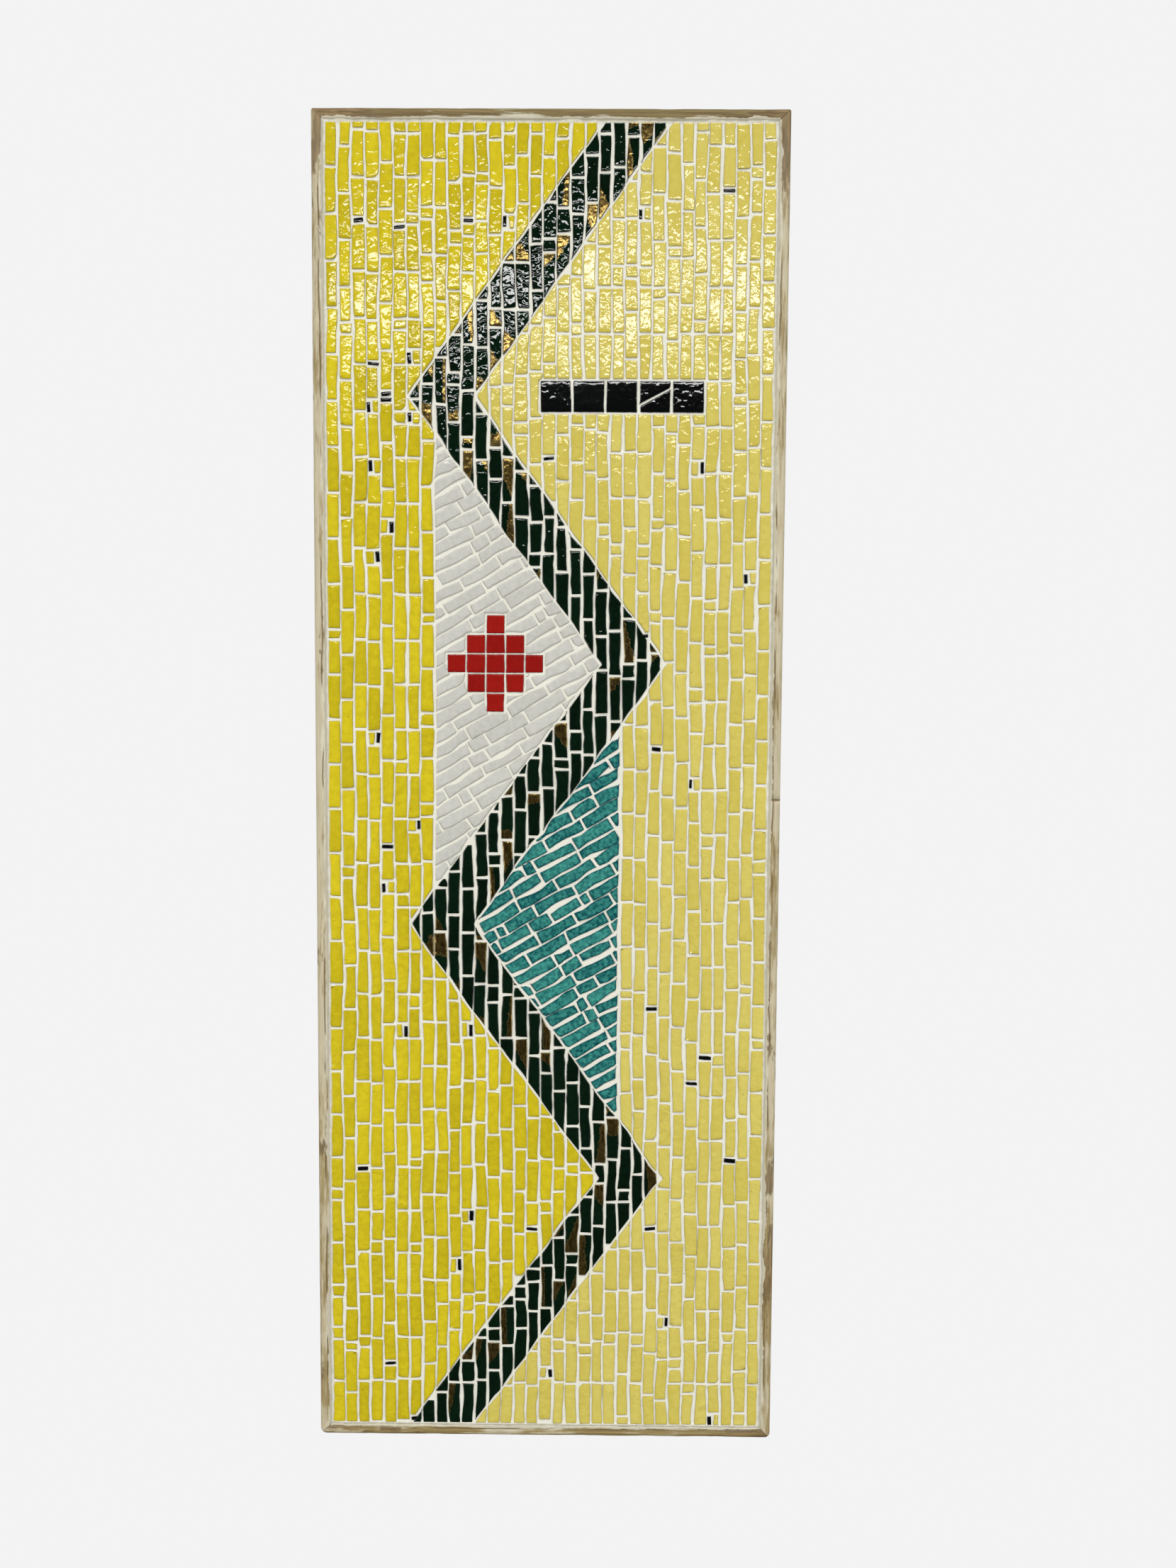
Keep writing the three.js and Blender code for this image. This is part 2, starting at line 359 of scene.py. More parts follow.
def coordinate(paint, axis):
    """The x, y or z of the place on the object, in metres."""
    return paint.make("SeparateXYZ", None, {"Vector": spot(paint)}, out=axis)


def rail_wood(name, upright, limewash, tint=1.0, splice=None):
    """Weathered wood with what is left of its limewash, from 0 for none to 1 for all."""
    made, paint = material(name)
    long_axis, short_axis = (2, 0) if upright else (0, 2)
    fine = (1.0, 1.0, 0.02) if upright else (0.02, 1.0, 1.0)
    loose = (1.0, 1.0, 0.09) if upright else (0.09, 1.0, 1.0)
    patchy = (1.0, 1.0, 0.3) if upright else (0.3, 1.0, 1.0)
    grain = clouds(paint, 900, 4, spot(paint, fine), 0.65)
    streaks = clouds(paint, 330, 5, spot(paint, loose), 0.65)
    drifts = clouds(paint, 11, 4)
    inward = (cad_box[1][short_axis] - abs(coordinate(paint, short_axis))) * (1 / rail_face)
    level = coordinate(paint, long_axis)
    in_front = step(paint, coordinate(paint, 1) * -1, 0.002, 0.008)  # nobody limewashed the back

    # Bare wood, and the limewash on it, which handling has worn off most near the ends.
    light_wood = [0.38 * tint, 0.285 * tint, 0.10 * tint]
    dark_wood = [0.19 * tint, 0.12 * tint, 0.026 * tint]
    wood = blend(paint, step(paint, grain, 0.3, 0.7), light_wood, dark_wood)
    wash = blend(paint, step(paint, grain, 0.2, 0.8), (0.66, 0.595, 0.42), (0.56, 0.485, 0.315))
    handled = step(paint, abs(level), 0.3, 0.68)
    worn = streaks * 0.5 + drifts * 0.5 - handled * 0.05
    kept = step(paint, worn, 0.62 - 0.28 * limewash, 0.70 - 0.22 * limewash)
    coat = 0.15 * limewash + kept * (0.9 - 0.15 * limewash)
    tone = blend(paint, coat * in_front, wood, wash)

    # A haze of grout along the inner edge, and brown bruises where the panel was knocked.
    haze = step(paint, inward + (streaks - 0.5) * 1.3 + (drifts - 0.5) * 1.4, 0.68, 1.0)
    tone = blend(paint, haze * in_front * 0.85, tone, (0.70, 0.66, 0.51))
    bruise = clouds(paint, 30, 5, spot(paint, patchy), 0.62)
    knocked = step(paint, level, 0.5, 0.72) if upright else step(paint, abs(level), 0.12, 0.26)
    bruised = step(paint, bruise + knocked * 0.2 + (streaks - 0.5) * 0.2, 0.59, 0.63)
    raw_wood = blend(paint, step(paint, streaks, 0.36, 0.62), (0.32, 0.22, 0.095), (0.13, 0.078, 0.026))
    tone = blend(paint, bruised * in_front * 0.85, tone, raw_wood)

    # A dark split that runs along the grain here and there, and the seam of a splice.
    off_split = abs(inward - 0.74 + (clouds(paint, 16, 3) - 0.5) * 0.5)
    open_split = step(paint, clouds(paint, 13, 3), 0.46, 0.54)
    split = (1 - step(paint, off_split, 0.03, 0.1)) * open_split * in_front
    tone = blend(paint, split * 0.85, tone, (0.14, 0.085, 0.03))
    if splice is not None:
        off_splice = abs(level - splice) + (streaks - 0.5) * 0.004
        seam = 1 - step(paint, off_splice, 0.0004, 0.002)
        tone = blend(paint, seam * 0.8, tone, (0.17, 0.095, 0.03))
    height = grain * 0.6 + streaks * 0.5
    surface(paint, height, height_mm=0.35, Base_Color=tone, Roughness=0.9 - 0.2 * grain)
    return made


rail_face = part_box("rail_left")[1].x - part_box("rail_left")[0].x
rail_piece("rail_left", -1, True, rail_wood("limewashed_left", True, limewash=0.9))
spliced_wood = rail_wood("limewashed_right", True, limewash=0.85, splice=splice_level)
rail_piece("rail_right", 1, True, spliced_wood, splice=splice_level)
rail_piece("rail_top", 1, False, rail_wood("bare_top", False, limewash=0.16, tint=0.7))
rail_piece("rail_bottom", -1, False, rail_wood("limewashed_foot", False, limewash=0.47))

# The grout is an off-white cement bed trowelled over the whole board. It fills the joints to just
# below the faces of the tesserae, and its border is wiped up against the rails.
grout_cell = 3 * mm
grout_wave = 0.22 * mm
grout_sunk = 0.15 * mm  # below its given face, because the joints were wiped out
grout_wipe = 5 * mm  # width of the border that climbs to the rails
grout_climb = 1.3 * mm

grout_paint, grit = material("grout")
grout_sand = clouds(grit, 1500, 4, roughness=0.7)
grout_cloud = clouds(grit, 22, 4)
grout_soil = step(grit, clouds(grit, 160, 5), 0.6, 0.78)
grout_cells = grit.make("TexVoronoi", None, {"Vector": spot(grit), "Scale": 110.0})
grout_holes = (1 - step(grit, grout_cells, 0.035, 0.07)) * step(grit, clouds(grit, 60, 1), 0.56, 0.6)
grout_tone = blend(grit, grout_cloud, (0.88, 0.865, 0.76), (0.80, 0.785, 0.66))
grout_tone = blend(grit, grout_soil * 0.3, grout_tone, (0.55, 0.49, 0.34))
grout_low, grout_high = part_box("grout_bed")
# The grout turns darker brown towards the rails and on the smears over them.
past_side = abs(coordinate(grit, 0)) - grout_high.x
past_end = abs(coordinate(grit, 2)) - grout_high.z
beside_rail = grit.math("MAXIMUM", past_side, past_end) + (clouds(grit, 120, 4) - 0.5) * 0.005
grout_darker_by_rails = step(grit, beside_rail, -0.0045, 0.0005)
grout_tone = blend(grit, grout_darker_by_rails * 0.75, grout_tone, (0.49, 0.435, 0.29))
grout_tone = blend(grit, grout_holes, grout_tone, (0.12, 0.10, 0.06))
surface(
    grit,
    grout_sand + clouds(grit, 260, 3) * 0.8 - grout_holes,
    height_mm=0.25,
    Base_Color=grout_tone,
    Roughness=0.88 + 0.08 * grout_sand,
)

grout_columns = round((grout_high.x - grout_low.x) / grout_cell)
grout_rows = round((grout_high.z - grout_low.z) / grout_cell)


def grout_level(x, z):
    """How far forward the grout stands at a place, as a y."""
    to_rail = min(x - grout_low.x, grout_high.x - x, z - grout_low.z, grout_high.z - z)
    climb = max(0.0, 1 - to_rail / grout_wipe) ** 2
    place = Vector((x, 0, z))
    ripple = noise.noise(place * 60) + 0.5 * noise.noise(place * 190)
    return grout_low.y + grout_sunk * (1 - climb) - grout_wave * ripple - grout_climb * climb


grout_grid = [
    (x, grout_level(x, z), z)
    for z in np.linspace(grout_low.z, grout_high.z, grout_rows + 1)
    for x in np.linspace(grout_low.x, grout_high.x, grout_columns + 1)
]
grid_number = np.arange(len(grout_grid)).reshape(grout_rows + 1, grout_columns + 1)


def grid_faces(number):
    """Faces of a grid of numbered points, and the loop of points round it."""
    corners = (number[:-1, :-1], number[:-1, 1:], number[1:, 1:], number[1:, :-1])
    faces = np.stack([corner.ravel() for corner in corners], 1).tolist()
    loop = [*number[0, :-1], *number[:-1, -1], *number[-1, :0:-1], *number[:0:-1, 0]]
    return faces, [int(i) for i in loop]


def closed_below(faces, loop, first):
    """The sides and the underside of a grid, whose lower loop of points starts at number first."""
    count = len(loop)
    for i, top in enumerate(loop):
        after = (i + 1) % count
        faces.append((top, first + i, first + after, loop[after]))
    faces.append(tuple(range(first + count - 1, first - 1, -1)))
    return faces


grout_faces, grout_loop = grid_faces(grid_number)
grout_faces = closed_below(grout_faces, grout_loop, len(grout_grid))
grout_under = [(grout_grid[i][0], grout_high.y, grout_grid[i][2]) for i in grout_loop]
grout = mesh_piece("grout", grout_grid + grout_under, grout_faces, grout_paint)
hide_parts("grout_bed")

# Smears of the same grout were wiped over the inner edges of the rails when the joints were filled.
# They thin out to nothing at a ragged edge, and have broken away in places.
smear_pace = 1.3 * mm
smear_start = 2.0 * mm  # inside the rail
smear_film = 0.14 * mm
smear_spread = 1.4 * mm
smear_rags = ((30, 2.8 * mm), (110, 2.2 * mm), (360, 1.0 * mm))  # to the metre, and their reach
smear_range = (0.2 * mm, 6.5 * mm)  # how narrow and how wide a smear gets


def smear_piece(name, node, side, upright):
    """The smear along one rail. Side is as it is for the rail."""
    low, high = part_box(node)
    long_axis, short_axis = (2, 0) if upright else (0, 2)
    inside = low[short_axis] if side > 0 else high[short_axis]
    reach = high[long_axis] - rail_face
    own = (side * 7.3, 3.1 if upright else 9.7)  # so that no two smears have the same rags
    rings = []
    for level in np.linspace(-reach, reach, round(2 * reach / smear_pace)):
        edge = smear_spread
        for density, size in smear_rags:
            edge += size * noise.noise((level * density, *own))
        edge = min(smear_range[1], max(smear_range[0], edge))
        profile = (
            (-smear_start, low.y + 2.2 * mm),
            (-smear_start * 0.45, low.y + 0.75 * mm),
            (edge * 0.2, low.y - smear_film * 0.6),
            (edge * 0.65, low.y - smear_film),
            (edge, low.y + 0.1 * mm),
            (edge, low.y + 1.5 * mm),
            (-smear_start, low.y + 3.0 * mm),
        )
        ring = []
        for outward, forward in profile:
            place = [0.0, forward, 0.0]
            place[long_axis] = level
            place[short_axis] = inside + side * outward
            ring.append(place)
        rings.append(ring)
    faces = lofted(rings)
    if (side > 0) != upright:
        faces = [face[::-1] for face in faces]
    made = mesh_piece(name, [place for ring in rings for place in ring], faces, grout_paint)


smear_piece("grout_smear_left", "rail_left", -1, True)
smear_piece("grout_smear_right", "rail_right", 1, True)
smear_piece("grout_smear_top", "rail_top", 1, False)
smear_piece("grout_smear_foot", "rail_bottom", -1, False)

# The two grounds are strips of yellow glazed tile, nipped off by hand, so that no long side is
# straight. They stand in upright courses with staggered ends, and the courses wander a little.
dice = random.Random(7)
hair = 1e-5  # a hair's breadth, which keeps a cut off a line that it would only touch
strip_length = 46 * mm
end_joint = 3 * mm
shortest_strip = 8 * mm
short_end = 2 * mm  # added to a last strip that would be shorter than that
closer_share = 0.07  # of full strips, parted into a longer and a shorter piece
closer_length = 11 * mm
closer_range = (0.75, 1.3)
saw_lean = math.radians(2.6)  # the most that a cut end leans
corner_stray = (-0.7 * mm, 1.1 * mm)  # outwards and inwards
nipped_wave = (0.25 * mm, 1.25 * mm)
nipped_bend = 30  # long bends to the metre
nipped_rags = (330, 0.16 * mm)  # fine rags to the metre, and their depth
nipped_most = 0.55 * mm  # that a nipped side may bulge past its line
bite = 9 * mm  # between two bites of the nippers
turned_in = (0.35 * mm, 0.7 * mm)  # how far a side turns in at its ends, and over what length
narrowest_half = 0.25 * mm
end_wave = 0.3 * mm
end_reach = 8 * mm  # over which the wave of an end dies away
chip_share = 0.09
chip_size = (1.2 * mm, 3.4 * mm)
edge_round = 0.45 * mm
glaze_roll = (0.2 * mm, 3 * mm)  # how far the glaze thins towards an edge, and over what width
tile_sunk = 4 * mm  # from the face to the underside, in the grout
tile_lean = 0.016  # slope of a tessera that isn't set quite level
tile_lift = 0.14 * mm
glaze_wave = (95, 0.1 * mm)  # waves to the metre, and their height
calm_rim = 1.5 * mm  # width over which those waves start
rim_band = 2.5 * mm  # width over which the rim fades
wander_reach = 2.6 * mm
wander_patch = (26 * mm, 80 * mm)
wander_calm = 22 * mm  # from the rails and from the square tesserae, where the courses run true
strip_grid = (18, 8)  # points along a face and across it
ripple_range = (0.35, 1.3)  # how strong the glaze's ripple is, from tile to tile
seed_span = 900  # of the noise, over which the seeds are spread
plumb = np.array((0.0, 1.0))  # the way that the strips run, as (x, z)


def raised_outlines(node):
    """The front outlines of a node's raised blocks, anticlockwise, as arrays of (x, z)."""
    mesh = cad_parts[node].data
    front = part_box(node)[0].y + hair
    edges = set()
    for polygon in mesh.polygons:
        corners = [mesh.vertices[i].co for i in polygon.vertices]
        if any(corner.y > front for corner in corners):
            continue
        keys = [(round(corner.x, 6), round(corner.z, 6)) for corner in corners]
        for a, b in zip(keys, keys[1:] + keys[:1]):
            if (b, a) in edges:
                edges.remove((b, a))
            else:
                edges.add((a, b))
    following = dict(edges)
    outlines = []
    while following:
        here = min(following)
        loop = []
        while here in following:
            loop.append(here)
            here = following.pop(here)
        outlines.append(np.array(loop))
    return outlines


def clipped(outline, normal, limit):
    """The part of an outline on the near side of a line."""
    kept = []
    for here, after in zip(outline, np.roll(outline, -1, 0)):
        a, b = here @ normal - limit, after @ normal - limit
        if a <= 0:
            kept.append(here)
        if a * b < 0:
            kept.append(here + (after - here) * a / (a - b))
    return np.array(kept)


def spans(length):
    """Starts and ends of the strips along a run of that length."""
    found = []
    start = 0.0
    while length - start > strip_length + hair:
        end = start + strip_length
        if length - end - end_joint < shortest_strip:
            end = length - end_joint - shortest_strip - short_end
        if dice.random() < closer_share and end - start > 0.9 * strip_length:
            closer = closer_length * dice.uniform(*closer_range)
            middle = start + closer if dice.random() < 0.5 else end - closer
            found.append((start, middle - end_joint / 2))
            start = middle + end_joint / 2
        found.append((start, end))
        start = end + end_joint
    return found + [(start, length)]


def strips(outline, along):
    """The separate strips of one raised block, each an outline with slightly leaning ends."""
    reach = outline @ along
    lowest, highest = reach.min(), reach.max()
    middle = outline.mean(0)
    made = []
    for start, end in spans(highest - lowest):
        part = outline
        for sign, stop in ((-1, lowest + start), (1, lowest + end)):
            inner = lowest + hair < stop < highest - hair
            lean = dice.uniform(-saw_lean, saw_lean) if inner else 0.0
            cos, sin = math.cos(lean), math.sin(lean)
            normal = sign * np.array((along[0] * cos - along[1] * sin, along[0] * sin + along[1] * cos))
            place = middle + along * (stop - middle @ along)
            if len(part) > 2:
                part = clipped(part, normal, place @ normal + (0 if inner else hair))
        if len(part) > 2:
            made.append(part)
    return made


def chipped(outline):
    """An outline with one corner broken off."""
    i = dice.randrange(len(outline))
    corner = outline[i]
    before, after = outline[i - 1] - corner, outline[(i + 1) % len(outline)] - corner
    cut = dice.uniform(*chip_size)
    if min(np.linalg.norm(before), np.linalg.norm(after)) < 2 * cut:
        return outline
    first = corner + before / np.linalg.norm(before) * cut * dice.uniform(0.5, 1.4)
    last = corner + after / np.linalg.norm(after) * cut
    return np.concatenate([outline[:i], [first, last], outline[i + 1 :]])


def strips_of(node, along):
    """The outlines of all the strips that a node's raised blocks stand for."""
    found = [strip for block in raised_outlines(node) for strip in strips(block, along)]
    return [chipped(strip) if dice.random() < chip_share else strip for strip in found]


calm_boxes = [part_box(node) for node in ("tesserae_red", "tesserae_black")]
mosaic_half = (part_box("tesserae_pale_yellow")[1].x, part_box("tesserae_pale_yellow")[1].z)


def wandered(place):
    """Where the courses wander to from a place. Neighbours share every stray, so joints stay open."""
    x, z = place
    room = min(mosaic_half[0] - abs(x), mosaic_half[1] - abs(z))
    for low, high in calm_boxes:
        room = min(room, math.hypot(max(low.x - x, x - high.x, 0), max(low.z - z, z - high.z, 0)))
    reach = wander_reach * min(1.0, max(0.0, room / wander_calm))
    across = noise.noise((x / wander_patch[0], z / wander_patch[1], 1.7))
    up = noise.noise((x / wander_patch[1], z / wander_patch[0], 8.3))
    return x + reach * across, z + reach * 0.5 * up


def crossing(outline, along, across, level):
    """Where a line across the strip at a level enters and leaves the outline."""
    t, s = outline @ along, outline @ across
    hits = []
    for t0, t1, s0, s1 in zip(t, np.roll(t, -1), s, np.roll(s, -1)):
        if (t0 - level) * (t1 - level) < 0:
            hits.append(s0 + (s1 - s0) * (level - t0) / (t1 - t0))
    return (min(hits), max(hits)) if len(hits) > 1 else (s.mean(), s.mean())


def stops(length, count):
    """Places from 0 to a length, close together at both ends."""
    near = [0.0, min(0.3 * mm, length * 0.15), min(1.1 * mm, length * 0.3)]
    inner = np.linspace(near[-1], length - near[-1], count - 4)
    return np.concatenate([near[:-1], inner, [length - place for place in near[1::-1]]])


def to_border(points, border):
    """Distances from points to a closed border."""
    way = np.roll(border, -1, 0) - border
    size = np.maximum((way**2).sum(1), 1e-18)
    offset = points[:, None, :] - border[None]
    share = np.clip((offset * way).sum(2) / size, 0, 1)
    return np.sqrt(((offset - share[:, :, None] * way) ** 2).sum(2)).min(1)


def nipped_sides(outline, along, across, levels, wavy, stray):
    """The two long sides of a tessera at some levels, as the nippers left them."""
    bottom, top = levels[0], levels[-1]
    inner = np.clip(levels, bottom + hair, top - hair)
    sides = np.array([crossing(outline, along, across, level) for level in inner])
    share = (levels - bottom) / (top - bottom)
    to_end = np.minimum(levels - bottom, top - levels)
    for side, sign in ((0, 1), (1, -1)):
        seed = dice.random() * seed_span
        ends = [dice.uniform(*corner_stray) * stray for _ in range(2)]
        wave = dice.uniform(*nipped_wave) * wavy
        bites = max(2, round((top - bottom) / bite / wavy**0.5 * dice.uniform(0.7, 1.5)))
        knots = np.linspace(bottom, top, bites + 1)
        depths = [dice.uniform(-0.5, 0.5) for _ in knots]
        bends = np.array([noise.noise((level * nipped_bend, seed, 0)) for level in levels])
        rags = np.array([noise.noise((level * nipped_rags[0], seed, 4)) for level in levels])
        inset = ends[0] + (ends[1] - ends[0]) * share + nipped_rags[1] * rags
        inset += wave * (bends * 1.1 + np.interp(levels, knots, depths))
        corner = turned_in[0] * np.maximum(0, 1 - to_end / turned_in[1]) ** 2
        sides[:, side] += sign * (np.maximum(inset, -nipped_most * max(1, wavy / 1.7)) + corner)
    middle = sides.mean(1)
    half = np.maximum(narrowest_half, (sides[:, 1] - sides[:, 0]) / 2)
    return middle - half, middle + half


def tessera(outline, along, face_level, wavy, stray, grid):
    """Vertices of one tessera, face before underside, and how far from the rim each of them is."""
    across = np.array((along[1], -along[0]))
    seed = dice.random() * seed_span
    reach = outline @ along
    levels = reach.min() + stops(reach.max() - reach.min(), grid[0])
    left, right = nipped_sides(outline, along, across, levels, wavy, stray)
    rows = []
    for level, s0, s1 in zip(levels, left, right):
        start = np.array(wandered(along * level + across * s0))
        end = np.array(wandered(along * level + across * s1))
        length = max(hair, np.linalg.norm(end - start))
        rows.append(start + (end - start) * (stops(length, grid[1]) / length)[:, None])
    points = np.array(rows)
    to_end = np.minimum(levels - levels[0], levels[-1] - levels)
    end_pull = np.maximum(0, 1 - to_end / end_reach)
    strays = np.array([noise.noise((seed, column * 0.6, 2)) for column in range(grid[1])])
    points += (end_pull[:, None] * strays)[:, :, None] * along * end_wave
    points = points.reshape(-1, 2)
    border = points[grid_faces(np.arange(len(points)).reshape(grid))[1]]
    inside = to_border(points, border)
    drop = edge_round * (1 - np.sqrt(1 - np.maximum(0, 1 - inside / edge_round) ** 2))
    drop += glaze_roll[0] * np.maximum(0, 1 - inside / glaze_roll[1]) ** 2
    lean = np.array([dice.uniform(-1, 1), dice.uniform(-1, 1)]) * tile_lean
    rise = dice.uniform(-1, 1) * tile_lift + (points - points.mean(0)) @ lean
    waves = np.array([noise.noise((x * glaze_wave[0], z * glaze_wave[0], seed)) for x, z in points])
    rise += glaze_wave[1] * waves * np.minimum(1, inside / calm_rim)
    front = np.stack([points[:, 0], face_level + drop - rise, points[:, 1]], 1)
    under = np.stack([border[:, 0], np.full(len(border), face_level + tile_sunk), border[:, 1]], 1)
    rim = np.concatenate([np.minimum(1, inside / rim_band), np.zeros(len(border))])
    return np.concatenate([front, under]), rim


def plain_face(points):
    """No patch of another glaze on a tessera."""
    return np.zeros(len(points))


def tessera_piece(
    name,
    outlines,
    along,
    paint,
    node=None,
    wavy=1.0,
    stray=1.0,
    grid=strip_grid,
    patch=plain_face,
):
    """All the tesserae of one colour as one mesh. Each has its own tone, ripple, rim and patch."""
    number = np.arange(grid[0] * grid[1]).reshape(grid)
    top_faces, loop = grid_faces(number)
    faces_of_one = closed_below(top_faces, loop, grid[0] * grid[1])
    face_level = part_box(node or "tesserae_deep_yellow")[0].y
    vertices, faces = [], []
    marks = {"rim": [], "tone": [], "ripple": [], "patch": []}
    for i, outline in enumerate(outlines):
        points, rim = tessera(outline, along, face_level, wavy, stray, grid)
        first = i * len(points)
        faces += [tuple(first + corner for corner in face) for face in faces_of_one]
        vertices.append(points)
        marks["rim"].append(rim)
        marks["tone"].append(np.full(len(points), dice.random()))
        marks["ripple"].append(np.full(len(points), dice.uniform(*ripple_range)))
        marks["patch"].append(patch(points))
    made = mesh_piece(name, np.concatenate(vertices).tolist(), faces, paint)
    for mark, values in marks.items():
        column = made.data.attributes.new(mark, "FLOAT", "POINT")
        column.data.foreach_set("value", np.concatenate(values).astype(np.float32))
    if node:
        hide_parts(node)


def mark(paint, name):
    """What tessera_piece noted at each point of the mesh."""
    return paint.make("Attribute", {"attribute_name": name}, out=2)


def glaze_ripple(paint):
    """The orange peel of a thick glaze, from 0 to 1, stronger on some tiles than on others."""
    waves = clouds(paint, 125, 1.0, swirl=0.6) + clouds(paint, 300, 0.0) * 0.12
    return waves * mark(paint, "ripple")


def glaze(
    name,
    light,
    dark,
    edge,
    gloss,
    ripple_mm=0.9,
    mottle=0.4,
    mottle_scale=130,
    specks=0.6,
    pooling_and_shade=0.25,
):
    """Glazed ceramic: a tone for each tessera, soft mottling, brown specks, and edges darkened by pooled
    glaze and painted shade.
    """
    made, paint = material(name)
    cloud = clouds(paint, mottle_scale, 5, roughness=0.6)
    mix = mark(paint, "tone") * (1 - mottle) + step(paint, cloud, 0.32, 0.68) * mottle
    # Darker towards the rim: partly glaze pooled at the edge, partly painted shade where the tessera
    # meets the joint.
    mix = mix + (1 - step(paint, mark(paint, "rim"), 0.0, 1.0)) * pooling_and_shade
    tone = blend(paint, mix, light, dark)
    # A thin dark line at the very edge, in the edge tone: partly the thin, bare glaze there, partly
    # painted shade along the tessera's edges.
    rim = mark(paint, "rim") + (clouds(paint, 700, 2) - 0.5) * 0.2
    bare_rim_and_shade = 1 - step(paint, rim, 0.05, 0.30)
    tone = blend(paint, bare_rim_and_shade * 0.8, tone, edge)
    cells = paint.make("TexVoronoi", None, {"Vector": spot(paint), "Scale": 100.0})
    cells = cells + (clouds(paint, 1100, 3) - 0.5) * 0.22
    pits = (1 - step(paint, cells, 0.04, 0.13)) * step(paint, clouds(paint, 48, 1), 0.60, 0.66)
    tone = blend(paint, pits * specks, tone, (0.13, 0.09, 0.02))
    surface(
        paint,
        glaze_ripple(paint) - pits * 0.06,
        ripple_mm,
        Base_Color=tone,
        Roughness=gloss + 0.05 * cloud + 0.85 * bare_rim_and_shade,
    )
    return made


# Forty-odd slivers of black glass sit among the yellow strips, some level in an end joint and some
# upright beside a short closer. The strips beside them are cut back to make room.
sliver_thickness = (3.3 * mm, 4.6 * mm)
sliver_length = (9.5 * mm, 13 * mm)
sliver_joint = 1.8 * mm
sliver_lean = math.radians(4)
sliver_host = 10 * mm  # the narrowest strip that is cut back for one
level_share = 0.55  # of the slivers, the others stand upright
deep_sliver_count = 25
pale_sliver_count = 16


def sliver_outline(centre, along, across, thickness, length, upright_one):
    """A small rectangle that leans a little."""
    lean = dice.uniform(-sliver_lean, sliver_lean)
    cos, sin = math.cos(lean), math.sin(lean)
    half = (thickness / 2, length / 2) if upright_one else (length / 2, thickness / 2)
    corners = [(half[0] * a, half[1] * b) for a, b in ((-1, -1), (1, -1), (1, 1), (-1, 1))]
    turned = [(a * cos - b * sin, a * sin + b * cos) for a, b in corners]
    return np.array([centre + across * a + along * b for a, b in turned])


def room_for_sliver(outline, along):
    """What is left of a strip beside a sliver, and the sliver's own outline."""
    across = np.array((along[1], -along[0]))
    sign = dice.choice((-1, 1))
    end = (sign * outline @ along).max()
    s = outline @ across
    thickness = dice.uniform(*sliver_thickness)
    length = dice.uniform(*sliver_length)
    if dice.random() < level_share:
        kept = [clipped(outline, sign * along, end - thickness - sliver_joint)]
        centre = along * sign * (end - thickness / 2 + 0.4 * mm) + across * (s.min() + s.max()) / 2
        return kept, sliver_outline(centre, along, across, thickness, length, False)
    side = dice.choice((-1, 1))
    edge = (side * s).max()
    cut = end - length - sliver_joint
    closer = clipped(outline, -sign * along, -cut)
    kept = [
        clipped(outline, sign * along, cut - end_joint),
        clipped(closer, side * across, edge - thickness - sliver_joint),
    ]
    centre = along * sign * (end - length / 2) + across * side * (edge - thickness / 2 + 0.3 * mm)
    return kept, sliver_outline(centre, along, across, thickness, length, True)


def with_slivers(outlines, count):
    """Outlines of strips with some cut back for slivers, and the slivers."""
    sizes = [np.ptp(outline, 0) for outline in outlines]
    long_enough = 0.9 * strip_length
    whole = [i for i, (width, length) in enumerate(sizes) if length > long_enough and width > sliver_host]
    chosen = set(dice.sample(whole, count))
    kept, slivers = [], []
    for i, outline in enumerate(outlines):
        if i in chosen:
            parts, sliver = room_for_sliver(outline, plumb)
            kept += [part for part in parts if len(part) > 2]
            slivers.append(sliver)
        else:
            kept.append(outline)
    return kept, slivers


deep_whole = strips_of("tesserae_deep_yellow", plumb)
deep_strips, deep_slivers = with_slivers(deep_whole, deep_sliver_count)
pale_whole = strips_of("tesserae_pale_yellow", plumb)
pale_strips, pale_slivers = with_slivers(pale_whole, pale_sliver_count)
deep_colours = ((0.76, 0.615, 0.02), (0.53, 0.42, 0.01), (0.34, 0.27, 0.02))
tessera_piece(
    "deep_yellow_strips",
    deep_strips,
    plumb,
    glaze("deep_yellow_glaze", *deep_colours, gloss=0.06),
    "tesserae_deep_yellow",
)
pale_colours = ((0.74, 0.635, 0.16), (0.64, 0.525, 0.09), (0.36, 0.30, 0.08))
tessera_piece(
    "pale_yellow_strips",
    pale_strips,
    plumb,
    glaze("pale_yellow_glaze", *pale_colours, gloss=0.055),
    "tesserae_pale_yellow",
)
black_colours = ((0.0025, 0.003, 0.003), (0.002, 0.002, 0.0022), (0.001, 0.001, 0.001))
tessera_piece(
    "black_slivers",
    deep_slivers + pale_slivers,
    plumb,
    glaze("black_sliver_glass", *black_colours, gloss=0.04, ripple_mm=0.3),
    wavy=0.25,
    stray=0.25,
    grid=(8, 8),
)

# The zigzag band is dark bottle-green glaze. Gold lustre was brushed over some of the tiles before
# they were cut up, so that it ends in torn patches on single strips.
lustre_share = 0.36  # of the strips
lustre_lean = 0.6  # how aslant the edge of a patch may run
lustre_edge = (-0.25, 0.65)  # where it crosses the strip, from its middle at 0 to its end at 1


def lustre(points):
    """How far each point lies within the gold on its strip, which covers it from 0 up."""
    if dice.random() > lustre_share:
        return np.full(len(points), -1.0)
    plan = points[:, [0, 2]]
    share = (plan - plan.mean(0)) / (np.ptp(plan, 0) / 2)
    turn = dice.uniform(0, 2 * math.pi)
    inward = np.array((lustre_lean * math.cos(turn), math.sin(turn)))
    return share @ inward - dice.uniform(*lustre_edge)


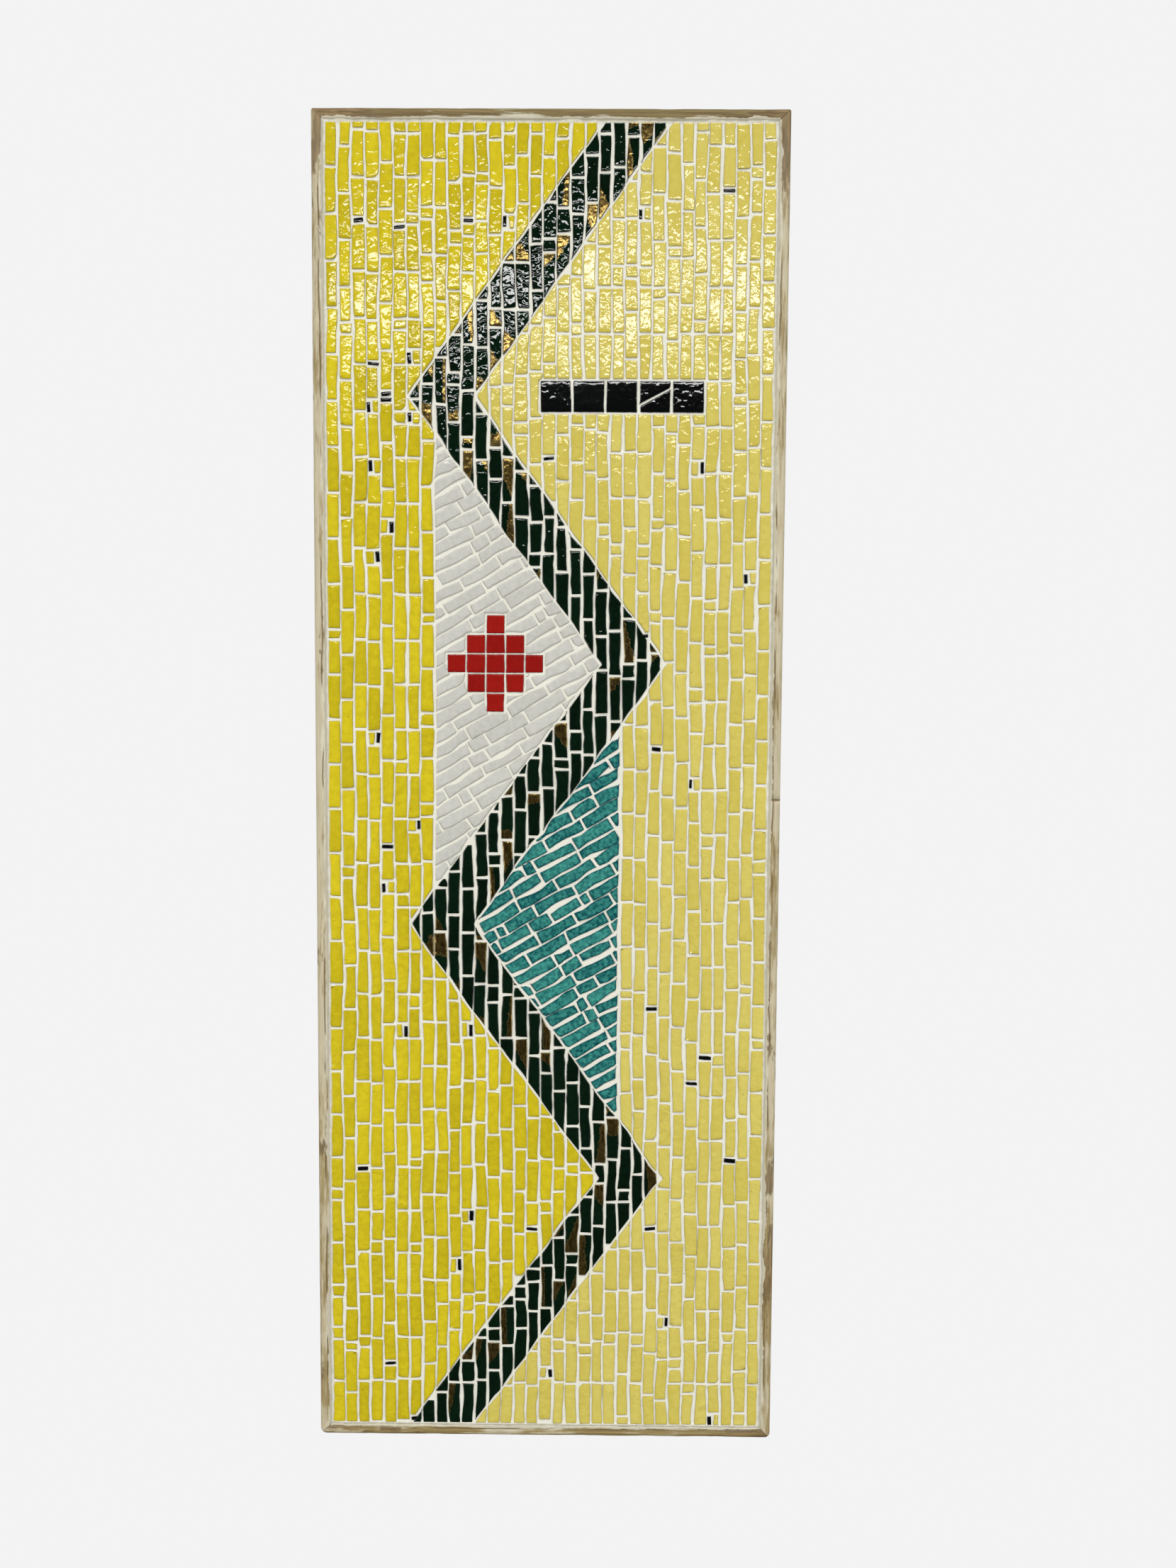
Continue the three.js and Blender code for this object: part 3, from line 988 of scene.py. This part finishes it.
def lustred_glaze():
    """Bottle-green glaze with the gold brushed over it."""
    made, paint = material("dark_green_glaze")
    cloud = clouds(paint, 160, 4)
    mix = mark(paint, "tone") * 0.5 + step(paint, cloud, 0.3, 0.7) * 0.5
    green = blend(paint, mix, (0.0012, 0.0055, 0.002), (0.0025, 0.014, 0.005))
    rim = step(paint, mark(paint, "rim"), 0.02, 0.30)
    # The rim is painted darker: partly the thin glaze at the edge, partly painted shade.
    green = blend(paint, (1 - rim) * 0.6, green, (0.002, 0.004, 0.003))
    torn = clouds(paint, 240, 4, roughness=0.65)
    gold = step(paint, mark(paint, "patch") + (torn - 0.5) * 0.7, -0.03, 0.05) * rim
    brushed = clouds(paint, 420, 4, spot(paint, (1.0, 1.0, 0.35)), 0.65, 0.8)
    gold_tone = step(paint, brushed, 0.35, 0.65)
    gold_tone = blend(paint, gold_tone, (0.40, 0.275, 0.08), (0.10, 0.062, 0.015))
    surface(
        paint,
        glaze_ripple(paint) + gold * brushed * 0.16,
        height_mm=0.9,
        Base_Color=blend(paint, gold, green, gold_tone),
        Metallic=gold * 0.9,
        Roughness=0.04 + 0.15 * gold + 0.85 * (1 - rim),
    )
    return made


tessera_piece(
    "dark_green_strips",
    strips_of("tesserae_dark_green", plumb),
    plumb,
    lustred_glaze(),
    "tesserae_dark_green",
    wavy=1.6,
    grid=(24, 10),
    patch=lustre,
)

# The two triangles are filled with strips laid aslant, nipped into long leaf shapes: mottled
# turquoise, and a cool white that is close to the grout.
slant = math.radians(30)
aslant = np.array((math.cos(slant), math.sin(slant)))
slanted_grid = (26, 12)
turquoise_colours = ((0.065, 0.35, 0.29), (0.001, 0.07, 0.078), (0.006, 0.085, 0.09))
white_colours = ((0.67, 0.66, 0.60), (0.56, 0.55, 0.495), (0.48, 0.47, 0.41))
tessera_piece(
    "turquoise_strips",
    strips_of("tesserae_turquoise", aslant),
    aslant,
    glaze(
        "turquoise_glaze",
        *turquoise_colours,
        gloss=0.07,
        ripple_mm=0.6,
        mottle=0.7,
        mottle_scale=240,
        specks=0.0,
        pooling_and_shade=0.5,
    ),
    "tesserae_turquoise",
    wavy=3.0,
    stray=1.3,
    grid=slanted_grid,
)
tessera_piece(
    "white_strips",
    strips_of("tesserae_white", aslant),
    aslant,
    glaze(
        "white_glaze",
        *white_colours,
        gloss=0.1,
        ripple_mm=0.6,
        mottle=0.6,
        mottle_scale=170,
        specks=0.25,
    ),
    "tesserae_white",
    wavy=2.6,
    stray=1.2,
    grid=slanted_grid,
)

# The stepped diamond and the level bar are square tesserae, red and black, set close with thin
# joints. One black square cracked across as it was set, and grout fills the crack.
square_grid = (16, 16)
crack_open = 1.8 * mm
crack_turn = math.radians(28)


def cracked(outline):
    """The two parts of a tessera that has cracked across."""
    normal = np.array((-math.sin(crack_turn), math.cos(crack_turn)))
    limit = outline.mean(0) @ normal
    return [
        clipped(outline, normal, limit - crack_open / 2),
        clipped(outline, -normal, -limit - crack_open / 2),
    ]


red_colours = ((0.37, 0.010, 0.006), (0.27, 0.006, 0.004), (0.14, 0.003, 0.002))
tessera_piece(
    "red_squares",
    raised_outlines("tesserae_red"),
    plumb,
    glaze("red_glaze", *red_colours, gloss=0.16, ripple_mm=0.5, specks=0.2),
    "tesserae_red",
    wavy=0.45,
    stray=0.5,
    grid=square_grid,
)
black_outlines = sorted(raised_outlines("tesserae_black"), key=lambda outline: outline[:, 0].min())
tessera_piece(
    "black_squares",
    black_outlines[:3] + cracked(black_outlines[3]) + black_outlines[4:],
    plumb,
    glaze("black_glaze", *black_colours, gloss=0.04, ripple_mm=0.4, specks=0.0),
    "tesserae_black",
    wavy=0.6,
    stray=0.7,
    grid=square_grid,
)
